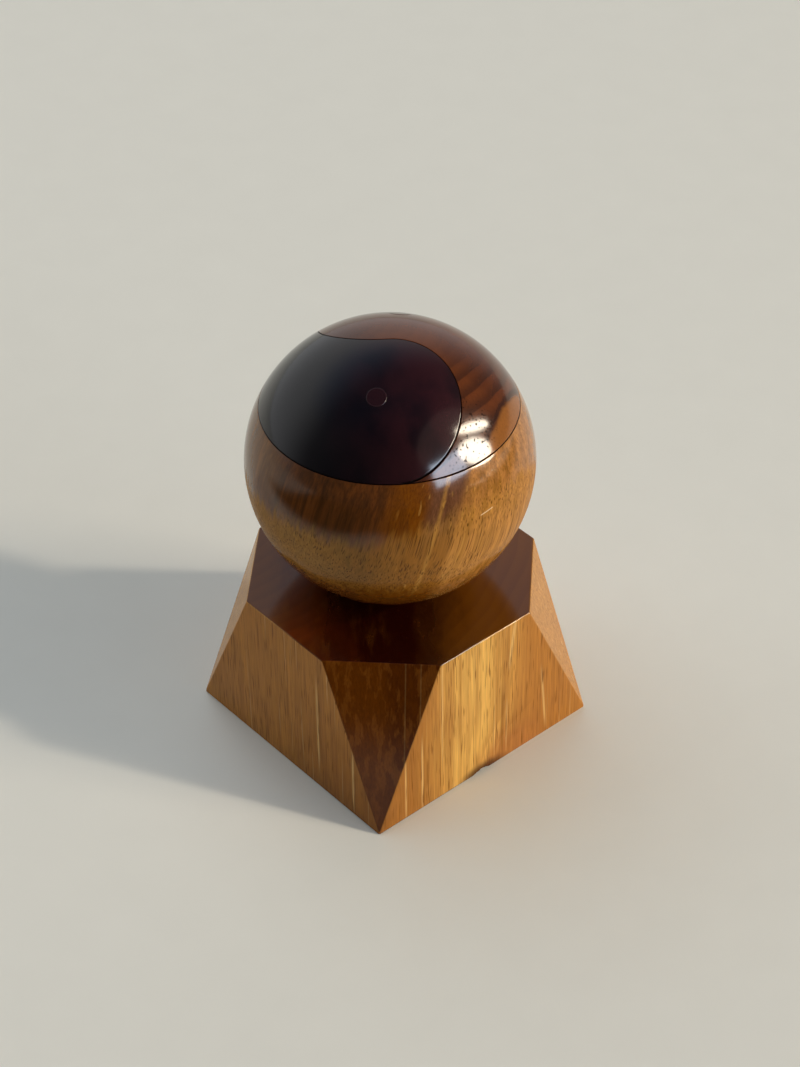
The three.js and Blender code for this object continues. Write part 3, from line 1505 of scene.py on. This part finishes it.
@dataclass(frozen=True)
class Lamp:
    """A flat soft lamp that hangs far off and looks in at the block."""

    name: str
    job: Job
    azimuth: float
    elevation: float
    distance: float
    size: tuple[float, float]
    radiance: float
    colour: Colour
    roll: float = 0.0
    shape: LampShape = LampShape.RECTANGLE

    def hang(self) -> None:
        """Makes the lamp."""
        data = bpy.data.lights.new(self.name, "AREA")
        data.shape = self.shape.value
        data.size, data.size_y = self.size
        data.energy = self.radiance * math.pi * self.size[0] * self.size[1]
        data.color = self.colour
        lamp = bpy.data.objects.new(self.name, data)
        lamp.matrix_world = aimed(self.azimuth, self.elevation, self.distance, self.roll)
        lamp.visible_camera = False
        lamp.visible_diffuse = self.job is Job.LIGHT
        lamp.visible_glossy = self.job is Job.GLEAM
        bpy.context.scene.collection.objects.link(lamp)


LAMPS = (
    Lamp(
        "window", Job.GLEAM, azimuth=9.0, elevation=19.5, distance=4.0,
        size=(1.95, 1.25), radiance=10.5, colour=(0.78, 0.92, 1.1),
    ),
    Lamp(
        "window_fill", Job.LIGHT, azimuth=9.0, elevation=19.5, distance=4.0,
        size=(1.95, 1.25), radiance=3.2, colour=(0.9, 0.95, 1.0),
    ),
    Lamp(
        "low_key", Job.LIGHT, azimuth=34.0, elevation=19.5, distance=4.0,
        size=(0.95, 0.95), radiance=27.0, colour=(1.0, 0.85, 0.66),
    ),
    Lamp(
        "low_glint", Job.GLEAM, azimuth=36.0, elevation=17.0, distance=4.0,
        size=(2.2, 1.15), radiance=27.0, colour=(1.0, 0.88, 0.70),
        roll=-37.0, shape=LampShape.ELLIPSE,
    ),
    Lamp(
        "high_glint", Job.GLEAM, azimuth=47.0, elevation=28.0, distance=4.0,
        size=(2.3, 0.42), radiance=30.0, colour=(1.0, 0.87, 0.68),
        roll=-37.0, shape=LampShape.ELLIPSE,
    ),
    Lamp(
        "haze", Job.GLEAM, azimuth=20.0, elevation=36.0, distance=4.2,
        size=(4.4, 3.0), radiance=0.26, colour=(1.0, 0.66, 0.56), shape=LampShape.ELLIPSE,
    ),
    Lamp(
        "fill", Job.LIGHT, azimuth=190.0, elevation=66.0, distance=2.5,
        size=(2.6, 2.6), radiance=1.12, colour=(0.98, 1.0, 0.99),
    ),
)


@dataclass
class Studio:
    """A plain pale floor, a low key light from the right and a camera that looks down."""

    floor_half: float = 3.0
    floor_colour: Colour = (0.745, 0.755, 0.705)
    floor_roughness: float = 0.85
    key_azimuth: float = 35.5
    key_elevation: float = 29.2
    key_spread: float = 3.5
    key_strength: float = 1.14
    key_colour: Colour = (1.0, 0.86, 0.70)
    camera_place: Vector = Vector((0.5735, -0.4840, 0.6956))
    camera_turn: float = FRONT_TURN
    camera_drop: float = 39.33
    camera_roll: float = -0.79
    lens: float = 91.1
    sensor: float = 36.0
    nearest_seen: float = 0.01
    wall_azimuth: float = 170.0
    wall_light: float = 0.55
    room_light: float = 0.12
    near_dark: float = 0.08
    overhead_dark: float = 0.35
    wall_colour: Colour = (0.97, 0.99, 1.0)
    overhead_colour: Colour = (0.6, 0.75, 1.1)
    flag_edges: tuple[float, float] = (0.181, -0.227)
    flag_ends: tuple[float, float] = (-0.276, 0.8)
    flag_fade: float = 0.09
    flag_height: float = 1 * MM
    lamps: tuple[Lamp, ...] = LAMPS

    def _sheet(self, name: str, height: float, cover: bpy.types.Material) -> bpy.types.Object:
        """A level square sheet as large as the floor.

        Args:
            name: the sheet's name.
            height: how high it lies.
            cover: its material.

        Returns:
            The sheet.
        """
        shape = bmesh.new()
        bmesh.ops.create_grid(shape, x_segments=1, y_segments=1, size=self.floor_half)
        bmesh.ops.translate(shape, vec=(0, 0, height), verts=shape.verts)
        sheet = to_object(name, shape)
        sheet.data.materials.append(cover)
        return sheet

    def floor(self) -> None:
        """Lays the floor, its paint slightly mottled."""
        made, graph = new_material("floor_paint")
        mottle = graph.noise(graph.here(), (0.02, 0.02, 0.02), 3.0, 3.0)
        colour = graph.shade(self.floor_colour, mottle * 0.04 + 0.98)
        inputs = {"Base Color": colour, "Roughness": self.floor_roughness}
        shader = graph.node("ShaderNodeBsdfPrincipled", {}, inputs)
        graph.node("ShaderNodeOutputMaterial", {}, {"Surface": shader.outputs[0]})
        self._sheet("floor", 0.0, made)

    def flag(self) -> None:
        """Lays a soft-edged black flag on the floor, in front and at the right.

        Only reflections see it.
        """
        right, near = self.flag_edges
        left, back = self.flag_ends
        fade = self.flag_fade
        made, graph = new_material("flag_cloth")
        at = graph.here()
        in_front = at.y.step(near + fade / 3, near - fade) * at.x.step(left - fade, left + fade)
        at_right = at.x.step(right - fade / 3, right + fade) * at.y.step(back + fade, back)
        clear = graph.node("ShaderNodeBsdfTransparent", {}, {})
        black = graph.node("ShaderNodeEmission", {}, {"Color": (0, 0, 0, 1), "Strength": 0.0})
        inputs = {0: in_front.larger(at_right), 1: clear.outputs[0], 2: black.outputs[0]}
        shader = graph.node("ShaderNodeMixShader", {}, inputs)
        graph.node("ShaderNodeOutputMaterial", {}, {"Surface": shader.outputs[0]})
        flag = self._sheet("flag", self.flag_height, made)
        flag.visible_camera = False
        flag.visible_diffuse = False
        flag.visible_shadow = False

    def world(self) -> None:
        """A room that is pale on the far side and dark overhead and behind the camera."""
        world = bpy.data.worlds.new("room")
        bpy.context.scene.world = world
        world.use_nodes = True
        graph = Graph(world.node_tree)
        way = graph.split(graph.node("ShaderNodeTexCoord", {}, {}).outputs["Generated"])
        far = way.turned(self.wall_azimuth).x.step(0.15, 0.8)
        near = way.turned(self.camera_turn - 90).x.step(0.1, 0.85)
        overhead = way.z.step(0.5, 0.95)
        light = far * self.wall_light + self.room_light - near * self.near_dark
        light = light * (1.0 - overhead * self.overhead_dark)
        colour = graph.shade(graph.mix(overhead, self.wall_colour, self.overhead_colour), light)
        background = graph.node("ShaderNodeBackground", {}, {"Color": colour, "Strength": 1.0})
        graph.node("ShaderNodeOutputWorld", {}, {"Surface": background.outputs[0]})

    def key(self) -> None:
        """Sets the key light: even, with a small soft spread, and unseen in the gloss."""
        data = bpy.data.lights.new("key", "SUN")
        data.angle = math.radians(self.key_spread)
        data.energy = self.key_strength
        data.color = self.key_colour
        key = bpy.data.objects.new("key", data)
        key.matrix_world = aimed(self.key_azimuth, self.key_elevation, 1.0)
        key.visible_glossy = False
        bpy.context.scene.collection.objects.link(key)

    def camera(self) -> None:
        """Sets the camera up."""
        data = bpy.data.cameras.new("camera")
        data.lens = self.lens
        data.sensor_width = self.sensor
        data.clip_start = self.nearest_seen
        camera = bpy.data.objects.new("camera", data)
        roll = Matrix.Rotation(math.radians(self.camera_roll), 4, "Z")
        tilt = Matrix.Rotation(math.radians(90 - self.camera_drop), 4, "X")
        turn = Matrix.Rotation(math.radians(self.camera_turn), 4, "Z")
        camera.matrix_world = Matrix.Translation(self.camera_place) @ turn @ tilt @ roll
        bpy.context.scene.collection.objects.link(camera)
        bpy.context.scene.camera = camera

    def build(self) -> None:
        """Builds the whole studio."""
        self.camera()
        self.floor()
        self.flag()
        self.world()
        self.key()
        for lamp in self.lamps:
            lamp.hang()
        bpy.context.scene.view_settings.view_transform = "Standard"


# ---------------------------------------------------------------- all of it


def measured_ball() -> Ball:
    """The ball's place and size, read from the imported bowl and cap.

    Returns:
        The ball.
    """
    low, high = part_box("sphere_bowl")
    cap_low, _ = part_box("dark_cap_half")
    radius = (high.x - low.x) / 2
    centre = Vector(((low.x + high.x) / 2, (low.y + high.y) / 2, low.z + radius))
    return Ball(centre, radius, seam_low=high.z, seam_high=cap_low.z)


def report(piece: bpy.types.Object) -> None:
    """Logs a piece's name and its count of faces."""
    log.info("%s: %d faces", piece.name, len(piece.data.polygons))


def main() -> None:
    """Builds the studio and every piece in order."""
    logging.basicConfig(level=logging.INFO, format="%(name)s %(message)s")
    Studio().build()
    ball = measured_ball()

    low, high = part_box("faceted_block")
    block_maker = FacetedBlock(high.x - low.x, high.z - low.z, ball)
    block = block_maker.build()
    block_maker.dress(block)
    report(block)

    bowl_maker = Bowl(ball)
    bowl = bowl_maker.build()
    bowl_maker.dress(bowl)
    report(bowl)

    for half in Half:
        half_maker, plug_maker = CapHalf(ball, half), Plug(ball, half)
        piece = half_maker.build()
        plug = plug_maker.build()
        half_maker.bore(piece, plug_maker)
        half_maker.dress(piece, plug, plug_maker)
        report(piece)
        report(plug)


if __name__ == "__main__":
    main()
